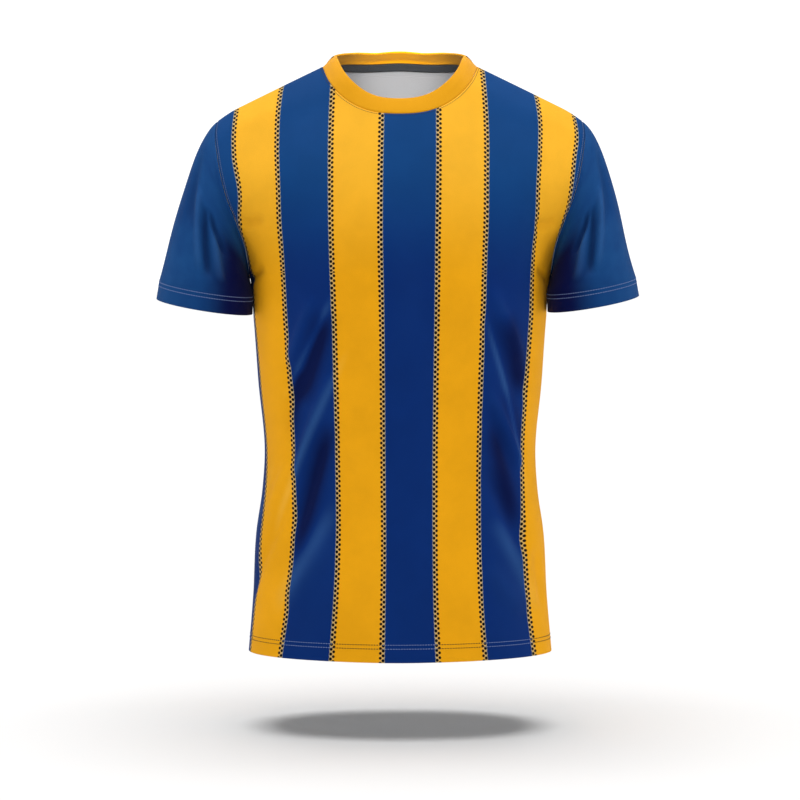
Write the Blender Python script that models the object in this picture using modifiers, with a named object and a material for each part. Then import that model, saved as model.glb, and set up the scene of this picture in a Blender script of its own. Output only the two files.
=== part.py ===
# Football shirt in its worn, hollow form: front, back, two sleeves, neckband and neck tape.
# Metres, +Z up. The wearer faces -Y, and +X is the wearer's left.
# The origin lies between the two neck points of the shoulder seams, where the shoulders carry the shirt.

import math
from collections import namedtuple

import bpy
import numpy as np
from mathutils import Vector
from mathutils.bvhtree import BVHTree

# Driving sizes of a men's size M shirt
CLOTH = 0.0012              # one layer of knitted polyester
HEM_CLOTH = 0.0024          # two layers, where a hem is turned up
SEAM_GAP = 0.0003           # between two pieces at a seam
HEM_DEPTH = 0.021           # height of the turned hem
CUFF_DEPTH = 0.021          # depth of the turned cuff
SQUARENESS = 2.3            # exponent of the torso's rounded section, 2 for an ellipse
SIDE_SEAM_Y = 0.002         # depth at which the side seams hang
NECK_HALF_WIDTH = 0.0938    # neckline at the shoulder seams, from the middle
NECK_DROP = 0.1365          # down the cloth from the shoulder line to the front neckline
NECK_BACK = 0.0670          # the same at the back
NECK_BACK_POWER = 1.00      # 0.5 for half an ellipse; more makes the back neckline flatter
EDGE_SHARE = 0.990          # a narrow strip of cloth beside each side seam and armhole
BAND_WIDTH = 0.0215         # neckband from its seam to its folded edge
BAND_CLOTH = 0.0024         # two layers of ribbing
BAND_LIFT = 16.0            # degrees by which the band stands up from the shoulders at the sides
BAND_LEAN = 14.0            # degrees by which it leans in behind the neck, in the middle
TAPE_WIDTH = 0.0135
TAPE_CLOTH = 0.0010
RIDGE_ROUNDING = 0.030      # how far from the middle the shoulder line is rounded off
TIP_FROM = 0.195            # from here outwards the shoulder bends down
TIP_BEND = 12.0             # how sharply, as metres down to each square metre out

# Each cuff is an oval. tilt: degrees by which its inner end hangs lower. pitch: the same for its front.
Cuff = namedtuple("Cuff", "x y z half_width half_depth tilt pitch")
CUFFS = {
    "sleeve_left": Cuff(0.2317, -0.027, -0.2870, 0.0557, 0.0580, 10.2, 5.0),
    "sleeve_right": Cuff(-0.2344, -0.027, -0.2905, 0.0583, 0.0555, 9.3, 5.5),
}

# The torso is a run of level rows, from the front hem over the shoulders to the back hem.
# rise: length up the cloth from the front hem. depth, height: the row's middle point.
# half_width: of the whole rounded section. slope: how steeply the row falls to the side.
Row = namedtuple("Row", "name rise depth height half_width slope")
TORSO_ROWS = (
    Row("front hem", 0.0000, -0.113, -0.7095, 0.1835, -0.02),
    Row("front hip", 0.0695, -0.112, -0.640, 0.178, 0.00),
    Row("front belly", 0.1495, -0.110, -0.560, 0.1735, 0.00),
    Row("front belly top", 0.1945, -0.109, -0.515, 0.1668, 0.00),
    Row("front waist", 0.2395, -0.110, -0.470, 0.1637, 0.00),
    Row("front ribs", 0.3295, -0.115, -0.380, 0.1715, 0.00),
    Row("front under chest", 0.3995, -0.121, -0.310, 0.1763, 0.00),
    Row("front underarm", 0.4575, -0.126, -0.252, 0.1815, 0.00),
    Row("front breast", 0.4935, -0.126, -0.215, 0.192, 0.03),
    Row("front chest", 0.5305, -0.120, -0.178, 0.212, 0.08),
    Row("front upper chest", 0.5775, -0.107, -0.132, 0.238, 0.16),
    Row("front collarbone", 0.6285, -0.087, -0.084, 0.26, 0.25),
    Row("front yoke", 0.6805, -0.062, -0.038, 0.276, 0.34),
    Row("front shoulder", 0.7285, -0.038, 0.004, 0.287, 0.44),
    Row("front shoulder top", 0.7605, -0.012, 0.027, 0.292, 0.49),
    Row("shoulder seam", 0.7885, 0.014, 0.033, 0.295, 0.50),
    Row("back shoulder top", 0.8165, 0.041, 0.029, 0.292, 0.49),
    Row("back shoulder", 0.8485, 0.066, 0.013, 0.287, 0.45),
    Row("back yoke", 0.8965, 0.088, -0.022, 0.276, 0.36),
    Row("back blades top", 0.9485, 0.106, -0.070, 0.26, 0.27),
    Row("back blades", 0.9995, 0.119, -0.120, 0.238, 0.18),
    Row("back below blades", 1.0465, 0.125, -0.170, 0.212, 0.09),
    Row("back ribs top", 1.0835, 0.125, -0.210, 0.192, 0.03),
    Row("back underarm", 1.1195, 0.121, -0.252, 0.1815, 0.00),
    Row("back ribs", 1.1775, 0.114, -0.310, 0.1763, 0.00),
    Row("back small", 1.2475, 0.105, -0.380, 0.1715, 0.00),
    Row("back waist", 1.3375, 0.099, -0.470, 0.1637, 0.00),
    Row("back belt", 1.3825, 0.101, -0.515, 0.1668, 0.00),
    Row("back seat top", 1.4275, 0.104, -0.560, 0.1735, 0.00),
    Row("back seat", 1.5075, 0.112, -0.640, 0.178, 0.00),
    Row("back hem", 1.5770, 0.116, -0.7095, 0.1835, -0.02),
)
FRONT_UNDERARM = 0.4575
SHOULDER_SEAM = 0.7885
BACK_HEM = 1.577

# The armhole cuts each row where the section has turned by this many degrees from the middle.
ArmholePoint = namedtuple("ArmholePoint", "above_underarm front_turn back_turn")
ARMHOLE = (
    ArmholePoint(0.000, 90.0, 90.0),
    ArmholePoint(0.036, 74.0, 74.5),
    ArmholePoint(0.073, 65.0, 64.0),
    ArmholePoint(0.120, 58.0, 55.5),
    ArmholePoint(0.171, 53.0, 51.0),
    ArmholePoint(0.223, 50.0, 48.5),
    ArmholePoint(0.271, 48.0, 47.0),
    ArmholePoint(0.331, 45.6, 45.6),
)

# Folds as seen from the front, and on the back through it. A lift below nought is a hollow.
Fold = namedtuple("Fold", "x z end_x end_z half_width lift")
FRONT_FOLDS = (
    Fold(-0.106, -0.292, -0.128, -0.382, 0.012, 0.0050),
    Fold(-0.082, -0.375, -0.122, -0.500, 0.012, 0.0045),
    Fold(-0.112, -0.350, -0.130, -0.440, 0.009, -0.0030),
    Fold(-0.091, -0.428, -0.109, -0.525, 0.011, -0.0030),
    Fold(-0.137, -0.419, -0.155, -0.496, 0.010, 0.0045),
    Fold(-0.147, -0.506, -0.160, -0.545, 0.012, -0.0040),
    Fold(-0.144, -0.586, -0.167, -0.640, 0.013, 0.0045),
    Fold(-0.104, -0.612, -0.125, -0.665, 0.017, 0.0030),
    Fold(-0.048, -0.240, -0.048, -0.470, 0.028, -0.0030),
    Fold(0.127, -0.299, 0.148, -0.391, 0.011, 0.0045),
    Fold(0.115, -0.319, 0.136, -0.428, 0.009, -0.0030),
    Fold(0.108, -0.375, 0.143, -0.507, 0.013, 0.0045),
    Fold(0.145, -0.525, 0.157, -0.598, 0.011, -0.0040),
    Fold(0.111, -0.595, 0.145, -0.680, 0.017, 0.0035),
    Fold(0.160, -0.574, 0.174, -0.658, 0.012, -0.0035),
    Fold(0.078, -0.262, 0.079, -0.440, 0.024, -0.0030),
    Fold(-0.186, -0.197, -0.150, -0.215, 0.010, -0.0035),
    Fold(0.184, -0.190, 0.152, -0.212, 0.011, -0.0030),
)
BACK_FOLDS = (
    Fold(-0.132, -0.220, -0.118, -0.420, 0.016, 0.0045),
    Fold(-0.100, -0.250, -0.104, -0.400, 0.013, -0.0035),
    Fold(-0.060, -0.330, -0.074, -0.520, 0.017, 0.0035),
    Fold(0.128, -0.225, 0.112, -0.440, 0.015, 0.0045),
    Fold(0.096, -0.270, 0.092, -0.410, 0.014, -0.0035),
    Fold(0.048, -0.350, 0.062, -0.540, 0.018, 0.0035),
    Fold(-0.006, -0.300, 0.002, -0.530, 0.026, -0.0035),
    Fold(-0.136, -0.470, -0.100, -0.500, 0.014, -0.0035),
    Fold(0.138, -0.465, 0.098, -0.492, 0.015, -0.0035),
    Fold(-0.110, -0.560, -0.128, -0.670, 0.018, 0.0035),
    Fold(0.118, -0.575, 0.130, -0.680, 0.017, 0.0035),
)

# Folds of a sleeve. around: 0 at the underarm, 0.25 front, 0.5 outer side, 0.75 back. down: 0 armhole, 1 cuff.
SleeveFold = namedtuple("SleeveFold", "around down end_around end_down half_width lift")
SLEEVE_FOLDS = (
    SleeveFold(0.335, 0.34, 0.250, 0.72, 0.010, 0.0040),
    SleeveFold(0.285, 0.30, 0.215, 0.60, 0.009, -0.0030),
    SleeveFold(0.235, 0.42, 0.175, 0.78, 0.009, 0.0035),
    SleeveFold(0.400, 0.18, 0.360, 0.45, 0.012, -0.0020),
    SleeveFold(0.690, 0.30, 0.760, 0.70, 0.011, 0.0040),
    SleeveFold(0.740, 0.25, 0.810, 0.62, 0.010, -0.0030),
    SleeveFold(0.600, 0.20, 0.630, 0.50, 0.013, -0.0020),
)

ROW_SAMPLES = np.radians(np.linspace(0.0, 90.0, 181))


def curve_through(at, values):
    """A smooth curve through the points of a table, as a function."""
    at, values = np.array(at, float), np.array(values, float)
    slopes = np.gradient(values, at)

    def value(where):
        where = np.clip(where, at[0], at[-1])
        low = np.clip(np.searchsorted(at, where, side="right") - 1, 0, len(at) - 2)
        span = at[low + 1] - at[low]
        t = (where - at[low]) / span
        return (
            values[low] * (1 + 2 * t) * (1 - t) ** 2
            + slopes[low] * span * t * (1 - t) ** 2
            + values[low + 1] * t * t * (3 - 2 * t)
            + slopes[low + 1] * span * t * t * (t - 1)
        )

    return value


row_value = {
    field: curve_through([row.rise for row in TORSO_ROWS], [getattr(row, field) for row in TORSO_ROWS])
    for field in ("depth", "height", "half_width", "slope")
}
reach = [math.sqrt(point.above_underarm) for point in ARMHOLE]
front_turn = curve_through(reach, [point.front_turn for point in ARMHOLE])
back_turn = curve_through(reach, [point.back_turn for point in ARMHOLE])


def row_line(rise, turn):
    """A level row of the torso on the +X side, at these turns in radians."""
    x = row_value["half_width"](rise) * np.sin(turn) ** (2 / SQUARENESS)
    y = SIDE_SEAM_Y + (row_value["depth"](rise) - SIDE_SEAM_Y) * np.cos(turn) ** (2 / SQUARENESS)
    fall = np.sqrt(x * x + RIDGE_ROUNDING ** 2) - RIDGE_ROUNDING + TIP_BEND * np.maximum(x - TIP_FROM, 0) ** 2
    return np.stack([x, y, row_value["height"](rise) - row_value["slope"](rise) * fall], axis=-1)


def row_lengths(line):
    return np.concatenate([[0.0], np.cumsum(np.linalg.norm(np.diff(line, axis=0), axis=1))])


def bare_point(rise, across):
    """The torso without folds, at a length across the cloth from the middle line."""
    line = row_line(rise, ROW_SAMPLES)
    lengths = row_lengths(line)
    beyond = max(abs(across) - lengths[-1], 0.0)
    x, y, z = (np.interp(abs(across), lengths, line[:, axis]) for axis in range(3))
    return np.array([math.copysign(x, across), y + (beyond if rise < SHOULDER_SEAM else -beyond), z])


def bare_normal(rise, across, step=0.001):
    up = bare_point(rise + step, across) - bare_point(rise - step, across)
    side = bare_point(rise, across + step) - bare_point(rise, across - step)
    normal = np.cross(side, up)
    return normal / np.linalg.norm(normal)


def armhole_across(rise):
    """Length across the cloth from the middle to the armhole, or to the side seam below it."""
    above = min(rise, BACK_HEM - rise) - FRONT_UNDERARM
    if above <= 0:
        turn = 90.0
    else:
        turn = float((front_turn if rise < SHOULDER_SEAM else back_turn)(math.sqrt(above)))
    lengths = row_lengths(row_line(rise, ROW_SAMPLES))
    return float(np.interp(math.radians(turn), ROW_SAMPLES, lengths))


def on_cloth(x, z, back):
    """(rise, across) of the point that is seen at x, z."""
    rises = np.linspace(0.05, 0.75, 141)
    if back:
        rises = BACK_HEM - rises
    heights = row_value["height"](rises) - row_value["slope"](rises) * abs(x)
    rise = rises[np.argmin(np.abs(heights - z))]
    line = row_line(rise, ROW_SAMPLES)
    return rise, math.copysign(np.interp(abs(x), line[:, 0], row_lengths(line)), x)


def fold_lift(fold, start, end, point):
    """How far this fold lifts the cloth at a point, with all three in metres on the flat cloth."""
    along = end - start
    length = np.linalg.norm(along)
    t = np.dot(point - start, along) / length ** 2
    off = abs(np.cross(along, point - start)) / length
    past = max(-t, t - 1, 0.0) * length / (2.2 * fold.half_width)
    ends = 0.5 + 0.5 * math.cos(math.pi * min(1.0, abs(2 * min(max(t, 0.0), 1.0) - 1) ** 2.5))
    return fold.lift * math.exp(-(off / fold.half_width) ** 2 - past ** 2) * ends


def laid_folds(folds, back):
    """Each fold of a table with its two ends on the flat cloth."""
    ends = [(on_cloth(fold.x, fold.z, back), on_cloth(fold.end_x, fold.end_z, back)) for fold in folds]
    return [(fold, np.array(start), np.array(end)) for fold, (start, end) in zip(folds, ends)]


front_folds = laid_folds(FRONT_FOLDS, False)
back_folds = laid_folds(BACK_FOLDS, True)


def torso_point(rise, across, inset=0.0):
    """The outer face of the torso's cloth, or a point this far inside it."""
    place = np.array([rise, across])
    folds = front_folds if rise < SHOULDER_SEAM else back_folds
    lift = sum(fold_lift(fold, start, end, place) for fold, start, end in folds)
    return bare_point(rise, across) + (lift - inset) * bare_normal(rise, across)


def neckline_rise(share, back):
    """Where the neckline crosses a column, given as its share of the half neck width."""
    inward = max(0.0, 1 - share * share)
    if back:
        return SHOULDER_SEAM + NECK_BACK * inward ** NECK_BACK_POWER
    return SHOULDER_SEAM - NECK_DROP * math.sqrt(inward)


def neck_across():
    """The neck's half width, along the cloth at the shoulder seam."""
    line = row_line(SHOULDER_SEAM, ROW_SAMPLES)
    return float(np.interp(NECK_HALF_WIDTH, line[:, 0], row_lengths(line)))


def panel_places(back, neck_columns, side_columns, low_rows, high_rows):
    """(rise, across) for every point of a body panel, row by row from the hem."""
    neck = neck_across() / armhole_across(SHOULDER_SEAM)
    angles = np.linspace(-math.pi / 2, math.pi / 2, neck_columns + 1)
    side = np.append(neck + (1 - neck) * np.linspace(0, 1, side_columns + 1)[1:-1], [EDGE_SHARE, 1.0])
    top = np.concatenate([-side[::-1], neck * np.sin(angles), side])
    even = np.concatenate([[-1.0], np.linspace(-EDGE_SHARE, EDGE_SHARE, len(top) - 2), [1.0]])
    low = [0.0, HEM_DEPTH * 0.5, HEM_DEPTH, HEM_DEPTH + 0.0015]
    low = np.append(low, np.linspace(HEM_DEPTH + 0.0015, FRONT_UNDERARM, low_rows + 1)[1:])
    high = np.append(np.linspace(0, 1, high_rows)[1:-1] ** 1.15, [0.994, 1.0])
    gap = SEAM_GAP / 2
    rows = []
    for height in low:
        rise = BACK_HEM - height if back else height
        half = armhole_across(rise) - gap
        rows.append([(rise, share * half) for share in even])
    start = BACK_HEM - FRONT_UNDERARM if back else FRONT_UNDERARM
    for climb in high:
        row = []
        settled = climb * climb * (3 - 2 * climb)
        for low_share, top_share in zip(even, top):
            share = low_share + (top_share - low_share) * settled
            end = neckline_rise(top_share / neck, back) if abs(top_share) < neck else SHOULDER_SEAM
            end += gap if back else -gap
            rise = start + (end - start) * climb
            row.append((rise, share * (armhole_across(rise) - gap)))
        rows.append(row)
    return rows


def cloth_object(name, rows, ring, material, thickness, layers=None):
    """An open sheet through rows of points, with its wall added inwards. layers is each row's share of it."""
    columns = len(rows[0])
    faces = []
    for r in range(len(rows) - 1):
        for c in range(columns if ring else columns - 1):
            d = (c + 1) % columns
            faces.append((r * columns + c, r * columns + d, (r + 1) * columns + d, (r + 1) * columns + c))
    mesh = bpy.data.meshes.new(name)
    mesh.from_pydata([tuple(point) for row in rows for point in row], [], faces)
    mesh.materials.append(material)
    obj = bpy.data.objects.new(name, mesh)
    shirt.objects.link(obj)
    wall = obj.modifiers.new("cloth thickness", "SOLIDIFY")
    wall.thickness = thickness
    wall.offset = -1.0
    wall.use_even_offset = name not in CUFFS
    if layers:
        group = obj.vertex_groups.new(name="layers")
        for r, share in enumerate(layers):
            group.add(list(range(r * columns, (r + 1) * columns)), share, "REPLACE")
        wall.vertex_group = "layers"
    return obj


def body_panel(name, back, material, places):
    rows = [[torso_point(rise, across) for rise, across in row] for row in places]
    if back:
        rows = [row[::-1] for row in rows]
    layers = [1.0, 1.0, 1.0] + [CLOTH / HEM_CLOTH] * (len(rows) - 3)
    return cloth_object(name, rows, False, material, HEM_CLOTH, layers)


def edge_ring(first, second):
    """Points and normals round an edge that two panels share, from their own edge points in order."""
    runs = []
    for places in (first, second):
        runs.append([(torso_point(*place), bare_normal(*place)) for place in places])
    first, second = runs
    joined = [((a[0] + b[0]) / 2, (a[1] + b[1]) / 2) for a, b in ((second[-1], first[0]), (first[-1], second[0]))]
    ring = [joined[0]] + first[1:-1] + [joined[1]] + second[1:-1]
    return np.array([point for point, _ in ring]), np.array([normal for _, normal in ring]), len(first) - 1


def ring_shares(points, half_way):
    """How far round each point is, by length, with 0.5 at the point half_way."""
    steps = np.linalg.norm(np.roll(points, -1, axis=0) - points, axis=1)
    lengths = np.concatenate([[0.0], np.cumsum(steps)])
    first, whole = lengths[half_way], lengths[-1]
    lengths = lengths[:-1]
    return np.where(lengths <= first, 0.5 * lengths / first, 0.5 + 0.5 * (lengths - first) / (whole - first))


def ring_tangents(points, reach=0.014):
    """The ring's direction at each point, taken over this length to both sides of it."""
    steps = np.linalg.norm(np.roll(points, -1, axis=0) - points, axis=1)
    whole = steps.sum()
    lengths = np.concatenate([[0.0], np.cumsum(steps)])
    closed = np.vstack([points, points[:1]])
    ends = [
        np.stack([np.interp((lengths[:-1] + way) % whole, lengths, closed[:, axis]) for axis in range(3)], axis=1)
        for way in (reach, -reach)
    ]
    along = ends[0] - ends[1]
    return along / np.linalg.norm(along, axis=1)[:, None]


def turned(direction, towards, degrees):
    angle = math.radians(degrees)
    return direction * math.cos(angle) + towards * math.sin(angle)


def hanging(side, lean, forward):
    """The way down the sleeve, where its outer side leans out by this angle."""
    down = np.cross(np.array([side * math.cos(lean), 0.0, math.sin(lean)]), forward) * side
    return down / np.linalg.norm(down)


def armhole_places(places, column):
    """This panel's own edge points from the underarm up."""
    edge = [row[column] for row in places]
    return [place for place in edge if min(place[0], BACK_HEM - place[0]) > FRONT_UNDERARM - 0.0001]


def sleeve_rows(front_places, back_places, cuff, rows):
    """Rows of points from the armhole to the cuff."""
    side = math.copysign(1.0, cuff.x)
    column = -1 if side > 0 else 0
    up_front = armhole_places(front_places, column)
    down_back = armhole_places(back_places, column)[::-1]
    points, normals, top = edge_ring(up_front, down_back)
    shares = ring_shares(points, top)
    tilt, pitch = math.radians(cuff.tilt), math.radians(cuff.pitch)
    outward = np.array([side * math.cos(tilt), 0.0, math.sin(tilt)])
    forward = np.array([0.0, -math.cos(pitch), -math.sin(pitch)])
    columns = []
    tangents = ring_tangents(points)
    for k, share in enumerate(shares):
        way_out = np.cross(tangents[k], normals[k]) * side
        way_out /= np.linalg.norm(way_out)
        upward = 0.5 - 0.5 * math.cos(2 * math.pi * share)
        start_way = turned(way_out, normals[k], 90 * (1 - upward) ** 2)
        start = points[k] + (SEAM_GAP + 0.0001) * way_out
        strip = start + 0.0022 * start_way
        # The inner side of the sleeve hangs straighter, because it lies along the body
        lean = tilt * (0.25 + 0.75 * upward)
        down = hanging(side, lean, forward)
        arrive = hanging(side, lean + math.radians(8) * upward ** 4, forward)
        angle = 2 * math.pi * share
        spot = cuff.half_depth * math.sin(angle) * forward - cuff.half_width * math.cos(angle) * outward
        edge = np.array([cuff.x, cuff.y, cuff.z]) + spot
        turn_start = edge - (CUFF_DEPTH + 0.0015) * down
        reach_out = 0.012 + 0.103 * upward ** 2
        reach_in = 0.020 + 0.125 * upward + 0.050 * upward ** 4
        points_down = [start]
        for t in np.linspace(0, 1, rows + 1):
            points_down.append(
                strip * (1 + 2 * t) * (1 - t) ** 2
                + start_way * reach_out * t * (1 - t) ** 2
                + turn_start * t * t * (3 - 2 * t)
                + arrive * reach_in * t * t * (t - 1)
            )
        points_down += [turn_start + 0.0015 * down, turn_start + (0.0015 + 0.5 * CUFF_DEPTH) * down, edge]
        columns.append(points_down)
    grid = with_sleeve_folds(np.array(columns).transpose(1, 0, 2), shares, side)
    return grid[:, ::-1] if side > 0 else grid


def with_sleeve_folds(grid, shares, side):
    """Lifts the sleeve's cloth by its folds, between the armhole strip and the cuff."""
    rows = len(grid)
    girth = np.linalg.norm(np.roll(grid, -1, axis=1) - grid, axis=2).sum(axis=1).mean()
    fall = np.linalg.norm(np.diff(grid[:, len(shares) // 2], axis=0), axis=1).sum()
    around = np.roll(grid, -1, axis=1) - np.roll(grid, 1, axis=1)
    normals = np.cross(np.gradient(grid, axis=0), around) * side
    normals /= np.linalg.norm(normals, axis=2)[..., None]
    folded = grid.copy()
    for r in range(2, rows - 3):
        for c, share in enumerate(shares):
            place = np.array([share * girth, r / (rows - 1) * fall])
            for fold in SLEEVE_FOLDS:
                start = np.array([fold.around * girth, fold.down * fall])
                end = np.array([fold.end_around * girth, fold.end_down * fall])
                folded[r, c] += fold_lift(fold, start, end, place) * normals[r, c]
    return folded


def neckband_rows(front_places, back_places, rows):
    """Rows of points from the neckline to the band's folded edge."""
    neck = neck_across() + 0.0005
    front_edge = [place for place in front_places[-1] if abs(place[1]) < neck]
    back_edge = [place for place in back_places[-1] if abs(place[1]) < neck][::-1]
    points, normals, _ = edge_ring(front_edge, back_edge)
    columns = []
    for k in range(len(points)):
        along = points[(k + 1) % len(points)] - points[k - 1]
        way_in = np.cross(normals[k], along / np.linalg.norm(along))
        side = abs(points[k][0]) / NECK_HALF_WIDTH
        start = points[k] + SEAM_GAP * way_in
        column = [start]
        for width in np.linspace(0.0022, BAND_WIDTH, rows):
            behind = min(1.0, max(0.0, points[k][1] - 0.014) / 0.030)
            lift = BAND_LIFT * side * side - BAND_LEAN * behind * (1 - min(1.0, side) ** 2)
            way = turned(way_in, normals[k], lift * min(1.0, width / 0.010))
            column.append(start + width * way)
        columns.append(column)
    return np.array(columns).transpose(1, 0, 2)


def tape_rows(panel, columns, rows):
    """Rows of points under the back neckline, laid on the inner face of the back panel."""
    surface = BVHTree.FromObject(panel, bpy.context.evaluated_depsgraph_get())
    neck = neck_across() / armhole_across(SHOULDER_SEAM)
    angles = np.linspace(-0.5 * math.pi + 0.10, 0.5 * math.pi - 0.10, columns + 1)
    rises = np.array([neckline_rise(math.sin(angle), True) for angle in angles])
    edge = np.array([neck * math.sin(angle) * armhole_across(rise) for angle, rise in zip(angles, rises)])
    # Away from the neck, square to the neckline on the flat cloth
    away = np.stack([np.gradient(edge), -np.gradient(rises)], axis=1)
    away /= np.linalg.norm(away, axis=1)[:, None]
    grid = []
    for r in range(rows + 1):
        width = 0.0010 + (TAPE_WIDTH - 0.0010) * r / rows
        row = []
        for rise, across, way in zip(rises, edge, away):
            inside = torso_point(rise + width * way[0], across + width * way[1], 0.004)
            hit = surface.find_nearest(inside)[0]
            off = Vector(inside) - hit
            row.append(hit + off.normalized() * (SEAM_GAP + 0.0003))
        grid.append(row)
    return grid


def cloth_material(name, colour, roughness):
    material = bpy.data.materials.new(name)
    material.use_nodes = True
    shader = material.node_tree.nodes["Principled BSDF"]
    shader.inputs["Base Color"].default_value = (*colour, 1.0)
    shader.inputs["Roughness"].default_value = roughness
    shader.inputs["Metallic"].default_value = 0.0
    material.diffuse_color = (*colour, 1.0)
    return material


for old in list(bpy.data.objects):
    bpy.data.objects.remove(old, do_unlink=True)
shirt = bpy.data.collections.new("football shirt")
bpy.context.scene.collection.children.link(shirt)

striped = cloth_material("striped cloth", (0.006, 0.045, 0.195), 0.75)
sleeve_blue = cloth_material("sleeve cloth", (0.006, 0.040, 0.180), 0.75)
amber = cloth_material("neckband rib", (0.760, 0.330, 0.010), 0.80)
grey = cloth_material("neck tape", (0.060, 0.066, 0.072), 0.85)

front_places = panel_places(False, 16, 8, 21, 17)
back_places = panel_places(True, 14, 6, 17, 15)
body_panel("front", False, striped, front_places)
back_panel = body_panel("back", True, striped, back_places)
for name, cuff in CUFFS.items():
    rows = sleeve_rows(front_places, back_places, cuff, 11)
    layers = [CLOTH / HEM_CLOTH] * (len(rows) - 3) + [1.0] * 3
    cloth_object(name, rows, True, sleeve_blue, HEM_CLOTH, layers)
cloth_object("neckband", neckband_rows(front_places, back_places, 4), True, amber, BAND_CLOTH)
cloth_object("neck_tape", tape_rows(back_panel, 28, 3), False, grey, TAPE_CLOTH)
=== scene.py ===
import math

import bpy
import numpy as np
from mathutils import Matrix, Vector


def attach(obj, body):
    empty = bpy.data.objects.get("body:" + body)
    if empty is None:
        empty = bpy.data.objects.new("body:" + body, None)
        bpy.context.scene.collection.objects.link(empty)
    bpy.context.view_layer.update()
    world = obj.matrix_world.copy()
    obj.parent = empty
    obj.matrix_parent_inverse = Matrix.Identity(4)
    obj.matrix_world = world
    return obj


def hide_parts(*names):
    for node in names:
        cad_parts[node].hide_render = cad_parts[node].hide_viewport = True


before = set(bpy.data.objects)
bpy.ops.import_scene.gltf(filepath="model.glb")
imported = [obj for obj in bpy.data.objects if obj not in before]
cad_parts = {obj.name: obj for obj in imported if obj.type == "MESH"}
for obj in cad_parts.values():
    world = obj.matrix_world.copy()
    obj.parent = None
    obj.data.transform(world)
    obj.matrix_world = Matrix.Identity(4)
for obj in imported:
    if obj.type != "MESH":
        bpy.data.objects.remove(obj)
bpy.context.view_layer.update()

# Football shirt in its worn, hollow form. Metres, +Z up, the front faces -Y.
# The torso is one run of level rows, from the front hem over the shoulders to the back hem.
# Each line: length up the cloth, depth and height of the row's middle, half width, fall to the side
torsoRows = (
    (0.0000, -0.113, -0.7095, 0.1835, -0.02),
    (0.0695, -0.112, -0.640, 0.1780, 0.00),
    (0.1495, -0.110, -0.560, 0.1735, 0.00),
    (0.1945, -0.109, -0.515, 0.1668, 0.00),
    (0.2395, -0.110, -0.470, 0.1637, 0.00),
    (0.3295, -0.115, -0.380, 0.1715, 0.00),
    (0.3995, -0.121, -0.310, 0.1763, 0.00),
    (0.4575, -0.126, -0.252, 0.1815, 0.00),
    (0.4935, -0.126, -0.215, 0.1920, 0.03),
    (0.5305, -0.120, -0.178, 0.2120, 0.08),
    (0.5775, -0.107, -0.132, 0.2380, 0.16),
    (0.6285, -0.087, -0.084, 0.2600, 0.25),
    (0.6805, -0.062, -0.038, 0.2760, 0.34),
    (0.7285, -0.038, 0.004, 0.2870, 0.44),
    (0.7605, -0.012, 0.027, 0.2920, 0.49),
    (0.7885, 0.014, 0.033, 0.2950, 0.50),
    (0.8165, 0.041, 0.029, 0.2920, 0.49),
    (0.8485, 0.066, 0.013, 0.2870, 0.45),
    (0.8965, 0.088, -0.022, 0.2760, 0.36),
    (0.9485, 0.106, -0.070, 0.2600, 0.27),
    (0.9995, 0.119, -0.120, 0.2380, 0.18),
    (1.0465, 0.125, -0.170, 0.2120, 0.09),
    (1.0835, 0.125, -0.210, 0.1920, 0.03),
    (1.1195, 0.121, -0.252, 0.1815, 0.00),
    (1.1775, 0.114, -0.310, 0.1763, 0.00),
    (1.2475, 0.105, -0.380, 0.1715, 0.00),
    (1.3375, 0.099, -0.470, 0.1637, 0.00),
    (1.3825, 0.101, -0.515, 0.1668, 0.00),
    (1.4275, 0.104, -0.560, 0.1735, 0.00),
    (1.5075, 0.112, -0.640, 0.1780, 0.00),
    (1.5770, 0.116, -0.7095, 0.1835, -0.02),
)
underarm, shoulderSeam, backHem = 0.4575, 0.7885, 1.577
squareness = 2.3
sideSeamY = 0.002
ridgeRounding = 0.030
tipFrom, tipBend = 0.195, 12.0        # the shoulder bends down from here outwards
# Above the underarm, and the turn in degrees at which the armhole cuts the front and the back row
armholeCut = (
    (0.000, 90.0, 90.0), (0.036, 74.0, 74.5), (0.073, 65.0, 64.0), (0.120, 58.0, 55.5),
    (0.171, 53.0, 51.0), (0.223, 50.0, 48.5), (0.271, 48.0, 47.0), (0.331, 45.6, 45.6),
)


def curveThrough(at, values):
    at, values = np.array(at, float), np.array(values, float)
    slopes = np.gradient(values, at)

    def value(where):
        where = np.clip(where, at[0], at[-1])
        low = np.clip(np.searchsorted(at, where, side="right") - 1, 0, len(at) - 2)
        span = at[low + 1] - at[low]
        t = (where - at[low]) / span
        return (values[low] * (1 + 2 * t) * (1 - t) ** 2 + slopes[low] * span * t * (1 - t) ** 2
                + values[low + 1] * t * t * (3 - 2 * t) + slopes[low + 1] * span * t * t * (t - 1))

    return value


def columnCurves(table):
    # One curve through each column after the first, over the first
    columns = list(zip(*table))
    return [curveThrough(columns[0], column) for column in columns[1:]]


def runLength(points):
    # Length along a line of points, up to each of them
    return np.concatenate([[0.0], np.cumsum(np.linalg.norm(np.diff(points, axis=0), axis=1))])


def addObject(name, data):
    obj = bpy.data.objects.new(name, data)
    bpy.context.scene.collection.objects.link(obj)
    return obj


rowDepth, rowHeight, rowHalf, rowFall = columnCurves(torsoRows)
frontTurn, backTurn = columnCurves([(math.sqrt(above), *turns) for above, *turns in armholeCut])

# One lookup sheet for the whole torso: level rows 1 mm apart, each sampled evenly along its cloth
sheetRises = np.linspace(0.0, backHem, 1578)
sheetShares = np.linspace(0.0, 1.0, 401)
quarterTurn = np.radians(np.linspace(0.0, 90.0, 721))


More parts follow.
